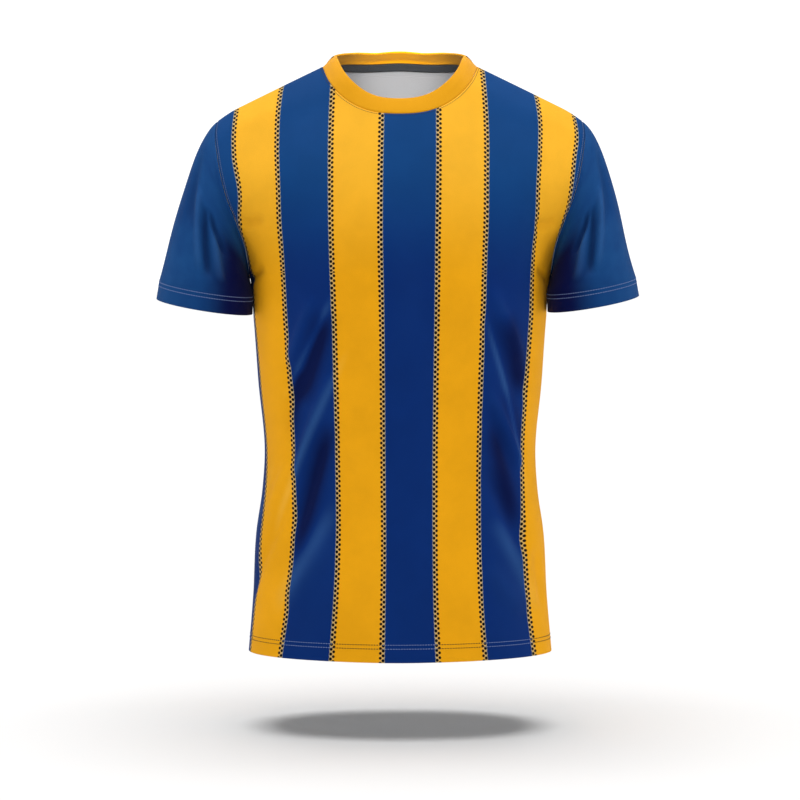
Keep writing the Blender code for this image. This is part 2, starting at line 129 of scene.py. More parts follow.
def rowLine(rise, turn):
    x = rowHalf(rise) * np.sin(turn) ** (2 / squareness)
    y = sideSeamY + (rowDepth(rise) - sideSeamY) * np.cos(turn) ** (2 / squareness)
    fall = np.sqrt(x * x + ridgeRounding ** 2) - ridgeRounding + tipBend * np.maximum(x - tipFrom, 0) ** 2
    return np.stack([x, y, rowHeight(rise) - rowFall(rise) * fall], -1)


def makeSheet():
    lines = rowLine(sheetRises[:, None], quarterTurn[None, :])
    lengths = np.array([runLength(line) for line in lines])
    points = np.empty((len(lines), len(sheetShares), 3))
    for i in range(len(lines)):
        for axis in range(3):
            points[i, :, axis] = np.interp(sheetShares * lengths[i, -1], lengths[i], lines[i, :, axis])
    return points, lengths[:, -1]


sheetPoints, sheetLengths = makeSheet()


def armholeAcross(rise):
    # Worked out exactly at every height, because the U of the armhole is steep at the underarm
    rise = np.asarray(rise, float)
    above = np.minimum(rise, backHem - rise) - underarm
    reach = np.sqrt(np.maximum(above, 0))
    turn = np.where(above <= 0, 90.0, np.where(rise < shoulderSeam, frontTurn(reach), backTurn(reach)))
    turns = np.radians(np.linspace(0, 1, 181)[:, None] * turn.ravel()[None, :])
    line = rowLine(rise.ravel()[None, :], turns)
    return np.linalg.norm(np.diff(line, axis=0), axis=2).sum(0).reshape(rise.shape)


def barePoint(rise, across):
    rise, across = np.broadcast_arrays(np.asarray(rise, float), np.asarray(across, float))
    i = np.clip(rise / (sheetRises[1] - sheetRises[0]), 0, len(sheetRises) - 1.000001)
    low = i.astype(int)
    f = (i - low)[..., None]
    total = sheetLengths[low] * (1 - f[..., 0]) + sheetLengths[low + 1] * f[..., 0]
    beyond = np.maximum(np.abs(across) - total, 0)
    j = np.clip(np.abs(across) / total, 0, 0.9999999) * (len(sheetShares) - 1)
    left = j.astype(int)
    g = (j - left)[..., None]
    p = ((sheetPoints[low, left] * (1 - g) + sheetPoints[low, left + 1] * g) * (1 - f)
         + (sheetPoints[low + 1, left] * (1 - g) + sheetPoints[low + 1, left + 1] * g) * f)
    p = p.copy()
    p[..., 0] *= np.where(across < 0, -1.0, 1.0)
    p[..., 1] += np.where(rise < shoulderSeam, beyond, -beyond)
    return p


def unit(v):
    return v / np.maximum(np.linalg.norm(v, axis=-1, keepdims=True), 1e-12)


def bareNormal(rise, across, step=0.002):
    up = barePoint(rise + step, across) - barePoint(rise - step, across)
    side = barePoint(rise, across + step) - barePoint(rise, across - step)
    return unit(np.cross(side, up))


foldStrength = {"body": 1.35, "sleeves": 1.6}
# Folds of the panels as seen from the front, and on the back through it:
# x, z, end x, end z, half width, lift. A lift below nought is a hollow.
frontFolds = (
    (-0.100, -0.275, -0.133, -0.365, 0.008, 0.0040),
    (-0.084, -0.290, -0.128, -0.425, 0.012, -0.0045),
    (-0.078, -0.362, -0.128, -0.500, 0.0065, 0.0040),
    (-0.080, -0.425, -0.128, -0.565, 0.010, -0.0045),
    (-0.078, -0.560, -0.140, -0.650, 0.014, 0.0028),
    (-0.128, -0.470, -0.160, -0.545, 0.010, 0.0030),
    (-0.131, -0.525, -0.178, -0.650, 0.009, -0.0030),
    (-0.048, -0.240, -0.048, -0.470, 0.028, -0.0016),
    (0.105, -0.265, 0.146, -0.362, 0.008, 0.0036),
    (0.100, -0.295, 0.146, -0.412, 0.011, -0.0045),
    (0.102, -0.385, 0.147, -0.490, 0.006, 0.0036),
    (0.098, -0.405, 0.141, -0.500, 0.009, -0.0035),
    (0.101, -0.475, 0.150, -0.590, 0.011, -0.0045),
    (0.100, -0.590, 0.148, -0.665, 0.014, 0.0028),
    (0.160, -0.574, 0.174, -0.658, 0.012, -0.0030),
    (0.078, -0.262, 0.079, -0.440, 0.024, -0.0016),
    (-0.190, -0.198, -0.160, -0.190, 0.007, -0.0030),
    (-0.179, -0.266, -0.160, -0.246, 0.006, -0.0026),
    (0.186, -0.194, 0.158, -0.198, 0.008, -0.0028),
    (0.178, -0.262, 0.160, -0.244, 0.006, -0.0024),
)
backFolds = (
    (-0.132, -0.220, -0.118, -0.420, 0.016, 0.0045),
    (-0.100, -0.250, -0.104, -0.400, 0.013, -0.0035),
    (-0.060, -0.330, -0.074, -0.520, 0.017, 0.0035),
    (0.128, -0.225, 0.112, -0.440, 0.015, 0.0045),
    (0.096, -0.270, 0.092, -0.410, 0.014, -0.0035),
    (0.048, -0.350, 0.062, -0.540, 0.018, 0.0035),
    (-0.006, -0.300, 0.002, -0.530, 0.026, -0.0035),
    (-0.136, -0.470, -0.100, -0.500, 0.014, -0.0035),
    (0.138, -0.465, 0.098, -0.492, 0.015, -0.0035),
    (-0.110, -0.560, -0.128, -0.670, 0.018, 0.0035),
    (0.118, -0.575, 0.130, -0.680, 0.017, 0.0035),
)


def onCloth(x, z, back):
    rises = np.linspace(0.05, 0.75, 141)
    rises = backHem - rises if back else rises
    heights = rowHeight(rises) - rowFall(rises) * abs(x)
    rise = rises[np.argmin(np.abs(heights - z))]
    row = int(round(rise / (sheetRises[1] - sheetRises[0])))
    reach = np.interp(abs(x), sheetPoints[row, :, 0], sheetShares * sheetLengths[row])
    return rise, math.copysign(reach, x)


def foldLift(start, end, halfWidth, lift, rise, across):
    start, end = np.array(start), np.array(end)
    along = end - start
    length = np.linalg.norm(along)
    dr, da = rise - start[0], across - start[1]
    t = (dr * along[0] + da * along[1]) / length ** 2
    off = np.abs(along[0] * da - along[1] * dr) / length
    past = np.maximum(np.maximum(-t, t - 1), 0) * length / (2.2 * halfWidth)
    ends = 0.5 + 0.5 * np.cos(np.pi * np.minimum(1, np.abs(2 * np.clip(t, 0, 1) - 1) ** 2.5))
    return lift * np.exp(-(off / halfWidth) ** 2 - past ** 2) * ends


def foldSum(front, back, rise, across):
    total = np.zeros(rise.shape)
    for folds, here in ((front, rise < shoulderSeam), (back, rise >= shoulderSeam)):
        for start, end, halfWidth, amount in folds:
            total += np.where(here, foldLift(start, end, halfWidth, amount, rise, across), 0)
    return total


def laid(table, back, strength):
    return [(onCloth(x, z, back), onCloth(endX, endZ, back), halfWidth, amount * strength)
            for x, z, endX, endZ, halfWidth, amount in table]


# Painted highlights and painted shade of the folds: bright lines and dark wedges on the cloth, laid out like
# the folds.
# The last number is the tone, a painted highlight above nought where the cloth catches the light, painted
# shade below it.
foldShadingMarks = (
    (-0.074, -0.268, -0.140, -0.410, 0.0042, 1.9),
    (-0.086, -0.296, -0.118, -0.412, 0.0135, -2.2),
    (-0.120, -0.360, -0.131, -0.452, 0.0100, -1.8),
    (-0.056, -0.330, -0.158, -0.580, 0.0042, 1.9),
    (-0.080, -0.420, -0.126, -0.600, 0.0120, -2.3),
    (-0.072, -0.520, -0.150, -0.668, 0.0100, 1.6),
    (-0.150, -0.470, -0.186, -0.600, 0.0080, 1.2),
    (0.098, -0.290, 0.156, -0.530, 0.0042, 2.2),
    (0.124, -0.296, 0.148, -0.400, 0.0120, -2.2),
    (0.122, -0.384, 0.150, -0.482, 0.0100, -1.5),
    (0.106, -0.425, 0.142, -0.560, 0.0130, -2.0),
    (0.108, -0.535, 0.166, -0.665, 0.0100, 1.6),
)


# Those on the back lie a little lower and nearer the sides
toneSpread, toneDrop, toneEndDrop = 1.03, 0.02, 0.03
backShadingMarks = [(x * toneSpread, z - toneDrop, endX * toneSpread, endZ - toneEndDrop, halfWidth, tone)
             for x, z, endX, endZ, halfWidth, tone in foldShadingMarks]
laidFolds = laid(frontFolds, False, foldStrength["body"]), laid(backFolds, True, foldStrength["body"])
laidShadingMarks = laid(foldShadingMarks, False, 1.0), laid(backShadingMarks, True, 1.0)


def slack(rise, across):
    # Knit cloth is never quite smooth: low, soft unevenness from a few fixed waves
    waves = (
        (31.0, 9.0, 0.3, 0.00034), (47.0, -14.0, 1.9, 0.00026), (23.0, 21.0, 4.1, 0.00030),
        (66.0, 17.0, 2.6, 0.00014), (12.0, -33.0, 5.2, 0.00022), (85.0, -26.0, 0.9, 0.00009),
    )
    total = 0.0
    for a, b, phase, size in waves:
        total = total + size * np.sin(a * across + b * rise + phase + 1.3 * np.sin(7.0 * rise + phase))
    return total


def torsoLift(rise, across):
    total = foldSum(*laidFolds, rise, across)
    # The unevenness dies out towards every seam, so that neighbouring pieces still meet
    side = armholeAcross(np.clip(rise, 0, backHem)) - np.abs(across)
    calm = np.clip(side / 0.03, 0, 1) * np.clip(np.abs(rise - shoulderSeam) / 0.12, 0, 1)
    return total + slack(rise, across) * calm


# A lift that counts as 1 in the painted fold shading, and the share of it that counts on the body
fullFold, bodyShare = 0.005, 0.3


# Painted fold shade and highlight of the torso, from the folds' lift and the painted marks
def torsoFoldShading(rise, across):
    return torsoLift(rise, across) / fullFold * bodyShare + foldSum(*laidShadingMarks, rise, across)


def torsoPoint(rise, across, lift=0.0):
    rise, across = np.broadcast_arrays(np.asarray(rise, float), np.asarray(across, float))
    return barePoint(rise, across) + (torsoLift(rise, across) + lift)[..., None] * bareNormal(rise, across)


def linear(*levels):
    # From a colour as a screen shows it, 0 to 255
    return tuple([((c / 255 + 0.055) / 1.055) ** 2.4 if c > 10 else c / 255 / 12.92 for c in levels] + [1.0])


black = (0.0, 0.0, 0.0, 1.0)


# Shader maths: a socket that can be added, multiplied and so on
class Wire:
    def __init__(self, maker, socket):
        self.maker, self.socket = maker, socket

    def math(self, operation, *others):
        return self.maker.wire("ShaderNodeMath", 0, {"operation": operation}, [self, *others])

    def reflected(self, operation, other):
        return self.maker.wire("ShaderNodeMath", 0, {"operation": operation}, [other, self])

    def __add__(self, other):
        return self.math("ADD", other)

    def __mul__(self, other):
        return self.math("MULTIPLY", other)

    def __sub__(self, other):
        return self.math("SUBTRACT", other)

    def __truediv__(self, other):
        return self.math("DIVIDE", other)

    def __rsub__(self, other):
        return self.reflected("SUBTRACT", other)

    def __rtruediv__(self, other):
        return self.reflected("DIVIDE", other)

    def __abs__(self):
        return self.math("ABSOLUTE")

    __radd__, __rmul__ = __add__, __mul__

    def clip(self, most):
        # Nought below nought, and never above most
        return self.math("MAXIMUM", 0.0).math("MINIMUM", most)

    def smooth(self, low, high):
        # 0 below low and 1 above high, with a soft step between
        settings = {"interpolation_type": "SMOOTHSTEP"}
        return self.maker.wire("ShaderNodeMapRange", 0, settings, [self, low, high, 0.0, 1.0])


# Painted highlight and painted shade of the blue cloth: its colour where a fold catches the light and in a
# deep hollow, and how far it goes there
foldShade = {"lit": linear(66, 116, 176), "hollowShade": linear(1, 10, 62), "deepen": 2.4, "deepest": 0.85}


class Maker:
    def __init__(self, name):
        self.material = bpy.data.materials.new(name)
        self.material.use_nodes = True
        self.tree = self.material.node_tree
        self.shader = self.tree.nodes["Principled BSDF"]

    def node(self, kind, settings=None, values=()):
        node = self.tree.nodes.new(kind)
        for key, value in (settings or {}).items():
            setattr(node, key, value)
        for key, value in values.items() if isinstance(values, dict) else enumerate(values):
            self.feed(node.inputs[key], value)
        return node

    def feed(self, socket, value):
        if isinstance(value, Wire):
            self.tree.links.new(value.socket, socket)
        else:
            socket.default_value = value

    def wire(self, kind, output=0, settings=None, values=()):
        return Wire(self, self.node(kind, settings, values).outputs[output])

    def mix(self, factor, first, second):
        return self.wire("ShaderNodeMix", 2, {"data_type": "RGBA"}, {0: factor, 6: first, 7: second})

    def flatPlace(self):
        # Metres on the flat cloth: across, and up or along
        uv = self.wire("ShaderNodeUVMap", 0, {"uv_map": "flat"})
        parts = self.node("ShaderNodeSeparateXYZ", None, [uv])
        return uv, Wire(self, parts.outputs[0]), Wire(self, parts.outputs[1])

    def foldShading(self):
        # Painted fold shading: below nought in a hollow of the cloth, where shade is painted, and above it on
        # a fold, where a highlight is painted
        return self.wire("ShaderNodeAttribute", 2, {"attribute_name": "foldShading"})

    def streaks(self, across, up):
        # Painted sheen: soft, long patches of gloss down the cloth, -1 to 1
        place = self.wire("ShaderNodeCombineXYZ", 0, None, [across * 11.0, up * 3.2, 0.0])
        return (self.noise(place, 1.0, 2.0, 0.45) - 0.5) * 4.0

    def shaded(self, colour, amount):
        # A painted highlight for an amount above nought, painted shade below it
        lit = self.mix(amount.clip(1.0), colour, foldShade["lit"])
        return self.mix((amount * -foldShade["deepen"]).clip(foldShade["deepest"]), lit, foldShade["hollowShade"])

    def noise(self, vector, scale, detail=2.0, roughness=0.5):
        return self.wire("ShaderNodeTexNoise", 0, None,
                         {"Vector": vector, "Scale": scale, "Detail": detail, "Roughness": roughness})

    def finish(self, colour, roughness, height=None, distance=0.0002, sheen=0.0, strength=1.0):
        self.feed(self.shader.inputs["Base Color"], colour)
        self.feed(self.shader.inputs["Roughness"], roughness)
        fixed = {"Metallic": 0.0, "Specular IOR Level": 0.06, "Sheen Weight": sheen, "Sheen Roughness": 0.45}
        for key, value in fixed.items():
            self.shader.inputs[key].default_value = value
        if height is not None:
            relief = {"Strength": strength, "Distance": distance, "Height": height}
            bump = self.node("ShaderNodeBump", None, relief)
            self.tree.links.new(bump.outputs[0], self.shader.inputs["Normal"])
        return self.material


knit = {
    "courses": 0.00095, "wales": 0.00080, "relief": 0.00010, "bump": 0.55,
    # groove: how much painted shade falls between the loops
    "groove": 0.16, "patches": (0.3, 0.7),
    "roughness": 0.62, "unevenness": 0.10, "sheen": 0.02,
}


def knitHeight(maker, across, up):
    # Rows of V-shaped loops: slanted ribs that turn at every wale
    column = (across / knit["wales"]).math("PINGPONG", 0.5)
    lean = (up / knit["courses"]) + column * 1.1
    rows = lean.math("FRACT") - 0.5
    loops = 1.0 - abs(rows) * 2.0
    groove = column.smooth(0.02, 0.16)
    return loops.smooth(0.05, 0.75) * groove


def knitShade(maker, uv):
    return maker.noise(uv, 14.0, 3.0, 0.6)


def clothFinish(maker, colour, loops, shade, roughness=knit["roughness"]):
    uneven = roughness + shade * knit["unevenness"]
    return maker.finish(colour, uneven, loops, knit["relief"], knit["sheen"], knit["bump"])


def knitFinish(maker, base, across, up, shade, roughness=knit["roughness"]):
    loops = knitHeight(maker, across, up)
    # Painted shade: darker between the knit's loops
    colour = maker.mix((1.0 - loops) * knit["groove"], base, black)
    return clothFinish(maker, colour, loops, shade, roughness)


# Where the yellow stripes begin and end on the flat print
printEdges = (-0.2065, -0.1430, -0.0802, -0.0208, 0.0436, 0.1020, 0.1695, 0.2300)
stripePrint = {
    "blue": linear(4, 46, 116),
    "blueLitAbove": linear(10, 66, 126),
    "yellowLitAbove": linear(248, 182, 44),
    "yellow": linear(249, 174, 17),
    "yellowInShade": linear(190, 112, 4),
    "yellowLit": linear(255, 214, 110),
    "chest": (0.44, 0.60),       # painted light: the cloth is painted a little paler above here, over the chest and shoulders, where light falls from above
    # How strongly painted fold shade and highlight, and painted sheen, show on the blue and the yellow
    "foldShadingOnBlue": 0.17, "paintedSheenOnBlue": 0.03,
    "foldShadingOnYellow": 0.10,
    "net": linear(226, 182, 104),
    "netNearBlue": linear(176, 168, 142),
    "dotNearBlue": linear(6, 5, 10),
    "dotNearYellow": linear(26, 13, 8),
    "pitch": 0.00575,
    "band": 0.0027,              # the blue ends this far outside the yellow stripe's edge
    # All of these are measured from the blue's edge towards the yellow
    "netting": (-0.0002, 0.0004),
    "paleNet": (0.0004, 0.0026),
    "yellowing": (0.0040, 0.0070),
    "nearColumn": 0.0022,
    "farColumn": 0.0054,
    "nearDot": (0.00182, 0.00192),
    "farDot": (0.00168, 0.00178),
    "farShift": 0.50,
    "bulge": -0.0004,
    "bulgeDot": (0.0010, 0.0014),
    "bulgeShift": -0.35,
    # wear: random worn patches; groove: painted shade between the knit's loops
    "wear": 0.08, "groove": 0.12,
}


def printedStripes(name):
    ink = stripePrint
    maker = Maker(name)
    uv, across, up = maker.flatPlace()
    # Signed distance to the nearest stripe edge, above nought in yellow
    inside = None
    for low, high in zip(printEdges[::2], printEdges[1::2]):
        here = (across - low).math("MINIMUM", high - across)
        inside = here if inside is None else inside.math("MAXIMUM", here)
    fromBlue = inside + ink["band"]
    beat = up / ink["pitch"]

    def dots(column, size, shift):
        dx = (fromBlue - column) / size[0]
        dy = ((beat + shift).math("FRACT") - 0.5) * (ink["pitch"] / size[1])
        return 1.0 - (dx * dx + dy * dy).smooth(0.70, 1.25)

    near = dots(ink["nearColumn"], ink["nearDot"], 0.0)
    far = dots(ink["farColumn"], ink["farDot"], ink["farShift"])
    bulge = dots(ink["bulge"], ink["bulgeDot"], ink["bulgeShift"])
    netting = fromBlue.smooth(*ink["netting"])
    yellowing = fromBlue.smooth(*ink["yellowing"])
    shade = knitShade(maker, uv)
    patch = 1.0 - shade.smooth(*knit["patches"]) * ink["wear"]
    # Painted light: the print is paler over the chest and shoulders, lit from above
    chest = up.smooth(*ink["chest"])
    # Painted fold shade and highlight, and painted sheen, on both colours
    folds, paintedSheen = maker.foldShading(), maker.streaks(across, up)
    blue = maker.mix(chest, ink["blue"], ink["blueLitAbove"])
    blue = maker.shaded(blue, folds * ink["foldShadingOnBlue"] + paintedSheen * ink["paintedSheenOnBlue"])
    yellow = maker.mix(chest, ink["yellow"], ink["yellowLitAbove"])
    yellow = maker.mix((folds * -ink["foldShadingOnYellow"]).clip(1.0), yellow, ink["yellowInShade"])
    yellow = maker.mix((folds * ink["foldShadingOnYellow"]).clip(0.4), yellow, ink["yellowLit"])
    net = maker.mix(1.0 - fromBlue.smooth(*ink["paleNet"]), ink["net"], ink["netNearBlue"])
    ground = maker.mix(netting, blue, net)
    ground = maker.mix(yellowing, ground, yellow)
    ground = maker.mix(bulge * (1.0 - yellowing), ground, blue)
    ground = maker.mix(near, ground, ink["dotNearBlue"])
    ground = maker.mix(far, ground, ink["dotNearYellow"])
    loops = knitHeight(maker, across, up)
    # Random worn patches, and painted shade between the knit's loops
    colour = maker.mix(1.0 - patch * (1 - ink["groove"] + loops * ink["groove"]), ground, black)
    return clothFinish(maker, colour, loops, shade)


reverseTone = {"cloth": linear(238, 240, 243), "worn": 0.98, "roughness": 0.75}


def reverseKnit(name):
    maker = Maker(name)
    uv, across, up = maker.flatPlace()
    shade = knitShade(maker, uv)
    worn = tuple(c * reverseTone["worn"] for c in reverseTone["cloth"][:3]) + (1.0,)
    base = maker.mix(shade.smooth(*knit["patches"]), reverseTone["cloth"], worn)
    return knitFinish(maker, base, across, up, shade, reverseTone["roughness"])


sleeveTone = {
    "blue": linear(22, 74, 132),
    "worn": linear(14, 62, 120),
    "inner": linear(1, 12, 68),      # painted shade: the side that lies along the body is painted darker, where the body shades it
    "girth": 0.42,
    "bodyShadeShare": (0.15, 0.27),
    "bodyShadeTop": (0.125, 0.175),
    # How strongly painted fold shade and highlight, and painted sheen, show on the sleeves
    "fold": 0.22,
    "paintedSheen": 0.04,
}


def sleeveKnit(name):
    tones = sleeveTone
    maker = Maker(name)
    uv, around, up = maker.flatPlace()
    shade = knitShade(maker, uv)
    base = maker.mix(shade.smooth(*knit["patches"]), tones["blue"], tones["worn"])
    # Painted shade on the side of the sleeve next to the body, fading out towards the armhole
    inner = 1.0 - (around / tones["girth"]).math("PINGPONG", 0.5).smooth(*tones["bodyShadeShare"])
    base = maker.mix(inner * (1.0 - up.smooth(*tones["bodyShadeTop"])), base, tones["inner"])
    # Painted fold shade and highlight, and painted sheen
    base = maker.shaded(base, maker.foldShading() * tones["fold"] + maker.streaks(around, up) * tones["paintedSheen"])
    return knitFinish(maker, base, around, up, shade)


# The rib's groove colour is painted shade in its grooves, and also tints random patches
rib = {"pitch": 0.00110, "course": 0.0010, "relief": 0.00016,
       "tone": linear(235, 166, 20), "groove": linear(219, 150, 12)}


def ribKnit(name):
    maker = Maker(name)
    uv, along, up = maker.flatPlace()
    wave = (along / rib["pitch"]).math("PINGPONG", 0.5) * 2.0
    ridge = wave.smooth(0.12, 0.80)
    course = abs((up / rib["course"]).math("FRACT") - 0.5) * 2.0
    shade = maker.noise(uv, 60.0, 2.0, 0.5)
    # Painted shade in the rib's grooves, darker between its ridges, then random darker patches
    tone = maker.mix(ridge, rib["groove"], rib["tone"])
    tone = maker.mix(shade.smooth(0.35, 0.65) * 0.12, tone, rib["groove"])
    return maker.finish(tone, 0.74, ridge + course * 0.12, rib["relief"], 0.15, 0.8)


tape = {"twill": 0.0011, "relief": 0.00018, "tone": linear(106, 110, 114), "dark": linear(76, 80, 84)}


def tapeTwill(name):
    maker = Maker(name)
    uv, along, up = maker.flatPlace()
    slant = ((along + up) / tape["twill"]).math("FRACT")
    ridge = (abs(slant - 0.5) * 2.0).smooth(0.1, 0.8)
    # Painted shade in the twill's grooves, darker between its ridges
    return maker.finish(maker.mix(ridge, tape["dark"], tape["tone"]), 0.80, ridge, tape["relief"], 0.1, 0.7)


def threadFinish(name, tone):
    maker = Maker(name)
    place = maker.wire("ShaderNodeTexCoord", 3)
    twist = maker.noise(place, 2400.0, 1.0, 0.5)
    shadowed = tuple(c * 0.7 for c in tone[:3]) + (1.0,)
    return maker.finish(maker.mix(twist, tone, shadowed), 0.55, twist, 0.00005, 0.1, 0.5)


frontCloth = printedStripes("printed front cloth")
backCloth = printedStripes("printed back cloth")
sleeveCloth = sleeveKnit("blue sleeve cloth")
reverse = reverseKnit("unprinted reverse")
bandCloth = ribKnit("amber rib")
tapeCloth = tapeTwill("grey tape")
threadOnBlue = threadFinish("periwinkle thread", linear(120, 140, 190))
threadOnYellow = threadFinish("olive thread", linear(70, 58, 28))
seamThread = threadFinish("light seam thread", linear(120, 136, 176))
neckThread = threadFinish("dark neck thread", linear(58, 54, 58))
print("materials made")


def clothPiece(name, rows, flatPlaces, ring, materials, thickness, layers=None, foldShading=None):
    rows = np.asarray(rows)
    count, columns = rows.shape[:2]
    r, c = np.meshgrid(np.arange(count - 1), np.arange(columns if ring else columns - 1), indexing="ij")
    d = (c + 1) % columns
    low, high = r * columns, (r + 1) * columns
    faces = np.stack([low + c, low + d, high + d, high + c], -1).reshape(-1, 4)
    mesh = bpy.data.meshes.new(name)
    mesh.from_pydata(rows.reshape(-1, 3).tolist(), [], faces.tolist())
    uv = mesh.uv_layers.new(name="flat")
    u, v = flatPlaces[..., 0], flatPlaces[..., 1]
    if ring:
        # The seam of the ring is closed in the flat map with one more column
        u = np.concatenate([u, u[:, :1] + ring], 1)
        v = np.concatenate([v, v[:, :1]], 1)
    around = (r, c), (r, c + 1), (r + 1, c + 1), (r + 1, c)
    corners = np.stack([np.stack([u[place], v[place]], -1) for place in around], -2)
    uv.data.foreach_set("uv", corners.reshape(-1).astype(np.float32))
    for material in materials:
        mesh.materials.append(material)
    if foldShading is not None:
        # The painted fold shading of each point: a painted highlight above nought where the folds catch the
        # light, painted shade below it
        tones = mesh.attributes.new("foldShading", "FLOAT", "POINT")
        tones.data.foreach_set("value", foldShading.ravel().astype(np.float32))
    mesh.shade_smooth()
    obj = addObject(name, mesh)
    wall = obj.modifiers.new("cloth thickness", "SOLIDIFY")
    wall.thickness = thickness
    wall.offset = -1.0
    wall.use_even_offset = False
    if len(materials) > 1:
        wall.material_offset = 1
        wall.material_offset_rim = 0
    if layers is not None:
        group = obj.vertex_groups.new(name="layers")
        for row, share in enumerate(layers):
            group.add(list(range(row * columns, (row + 1) * columns)), float(share), "REPLACE")
        wall.vertex_group = "layers"
    return obj


panelSizes = {
    "cloth": 0.0012, "hemCloth": 0.0024, "hemDepth": 0.021, "gap": 0.0003,
    "neckHalfWidth": 0.0938, "neckDrop": 0.1365, "neckBack": 0.0670,
    "columns": 120, "lowRows": 112, "highRows": 84, "seamDip": 0.00035,
}
# Edges of the four yellow stripes on the worn cloth: length up it, then across it from the wearer's right
stripeEdges = (
    (0.000, -0.2150, -0.1479, -0.0823, -0.0205, 0.0445, 0.1031, 0.1715, 0.2620),
    (0.070, -0.2050, -0.1371, -0.0771, -0.0193, 0.0416, 0.0977, 0.1608, 0.2560),
    (0.141, -0.1930, -0.1312, -0.0740, -0.0185, 0.0405, 0.0949, 0.1555, 0.2510),
    (0.212, -0.1915, -0.1317, -0.0742, -0.0191, 0.0405, 0.0951, 0.1579, 0.2440),
    (0.320, -0.2020, -0.1350, -0.0764, -0.0199, 0.0415, 0.0971, 0.1619, 0.2510),
    (0.426, -0.2170, -0.1431, -0.0796, -0.0210, 0.0429, 0.1005, 0.1697, 0.2620),
    (0.504, -0.2130, -0.1450, -0.0815, -0.0225, 0.0437, 0.1022, 0.1677, 0.2150),
    (0.570, -0.1973, -0.1456, -0.0827, -0.0224, 0.0448, 0.1033, 0.1661, 0.2112),
    (0.650, -0.2051, -0.1500, -0.0840, -0.0213, 0.0456, 0.1057, 0.1715, 0.2161),
    (0.720, -0.2120, -0.1535, -0.0846, -0.0211, 0.0457, 0.1066, 0.1772, 0.2268),
    (0.789, -0.2170, -0.1540, -0.0850, -0.0211, 0.0459, 0.1070, 0.1780, 0.2302),
)
edgeLines = columnCurves(stripeEdges)


def printPlace(up, across):
    # Across the print as it was before the body drew it wider or narrower
    lines = [line(up) for line in edgeLines]
    flat = printEdges[0] + np.minimum(across - lines[0], 0) + np.maximum(across - lines[-1], 0)
    for i in range(len(lines) - 1):
        share = np.clip((across - lines[i]) / (lines[i + 1] - lines[i]), 0, 1)
        flat = flat + (printEdges[i + 1] - printEdges[i]) * share
    return flat


def neckAcross():
    line = rowLine(shoulderSeam, quarterTurn)
    return float(np.interp(panelSizes["neckHalfWidth"], line[:, 0], runLength(line)))


neckShare = neckAcross() / float(armholeAcross(shoulderSeam))


def necklineRise(share, back):
    inward = np.maximum(0, 1 - share * share)
    if back:
        return shoulderSeam + panelSizes["neckBack"] * inward
    return shoulderSeam - panelSizes["neckDrop"] * np.sqrt(inward)


def neckAngles(count, short=0.0):
    # From one shoulder seam round the neck to the other, or ending a little short of both
    return np.linspace(-math.pi / 2 + short, math.pi / 2 - short, count)


def panelPlaces(back):
    sizes = panelSizes
    neckColumns = int(round(sizes["columns"] * neckShare / 2)) * 2 + 12
    sideColumns = (sizes["columns"] - neckColumns) // 2
    side = neckShare + (1 - neckShare) * np.linspace(0, 1, sideColumns + 1)[1:]
    top = np.concatenate([-side[::-1], neckShare * np.sin(neckAngles(neckColumns + 1)), side])
    even = np.linspace(-1, 1, len(top))
    hem = sizes["hemDepth"]
    low = np.concatenate([[0.0, 0.0010], np.linspace(0.004, hem, 5), [hem + 0.0010],
                          np.linspace(hem + 0.004, underarm, sizes["lowRows"])])
    high = np.linspace(0, 1, sizes["highRows"] + 1)[1:] ** 1.1
    start = backHem - underarm if back else underarm
    gap = sizes["gap"] / 2
    rises, shares = [], []
    for height in low:
        rises.append(np.full(len(even), backHem - height if back else height))
        shares.append(even)
    for climb in high:
        settled = climb * climb * (3 - 2 * climb)
        inNeck = np.abs(top) < neckShare
        end = np.where(inNeck, necklineRise(np.clip(top / neckShare, -1, 1), back), shoulderSeam)
        end = end + gap if back else end - gap
        rises.append(start + (end - start) * climb)
        shares.append(even + (top - even) * settled)
    rises = np.array(rises)
    return rises, np.array(shares) * (armholeAcross(rises) - gap)


# How far from each kind of seam the cloth's dip reaches
dipWidths = {"armhole": 0.0022, "side": 0.0016, "shoulder": 0.0022, "neck": 0.0024}


def seamDip(rises, across):
    # Cloth dips a little where it is sewn, and less at the side seams
    def beside(distance, seam):
        return np.exp(-(distance / dipWidths[seam]) ** 2)

    edge = armholeAcross(rises) - np.abs(across)
    atArmhole = np.minimum(rises, backHem - rises) > underarm - 0.004
    dips = (beside(edge, "armhole") * atArmhole, 0.8 * beside(edge, "side"),
            beside(rises - shoulderSeam, "shoulder"), beside(rises - rises[-1], "neck"))
    return -panelSizes["seamDip"] * np.maximum.reduce(dips)


def bodyPanel(name, back, material):
    rises, across = panelPlaces(back)
    points = torsoPoint(rises, across, seamDip(rises, across))
    up = backHem - rises if back else rises
    # The print's own height runs with the cloth as seen from the front, so the shoulders don't crowd it
    steps = np.diff(points[::-1] if back else points, axis=0)
    seen = 0.3 * np.linalg.norm(steps, axis=2) + 0.7 * np.linalg.norm(steps[..., [0, 2]], axis=2)
    height = np.concatenate([np.zeros((1, seen.shape[1])), np.cumsum(seen, axis=0)])
    flat = np.stack([printPlace(up, across), height], -1)
    foldShading = torsoFoldShading(rises, across)
    hemCloth = panelSizes["hemCloth"]
    layers = np.where(up.mean(1) < panelSizes["hemDepth"] + 0.0005, 1.0, panelSizes["cloth"] / hemCloth)
    if back:
        points, flat, foldShading = points[:, ::-1], flat[:, ::-1], foldShading[:, ::-1]
    return clothPiece(name, points, flat, False, [material, reverse], hemCloth, layers, foldShading)


front = bodyPanel("bodyFront", False, frontCloth)
back = bodyPanel("bodyBack", True, backCloth)
print("body panels made")

# Each cuff is an oval: x, y, z, half width, half depth, and the degrees by which its inner end
# and its front hang lower
cuffs = {
    "sleeveLeft": (0.2317, -0.027, -0.2870, 0.0557, 0.0580, 10.2, 5.0),
    "sleeveRight": (-0.2344, -0.027, -0.2905, 0.0583, 0.0555, 9.3, 5.5),
}
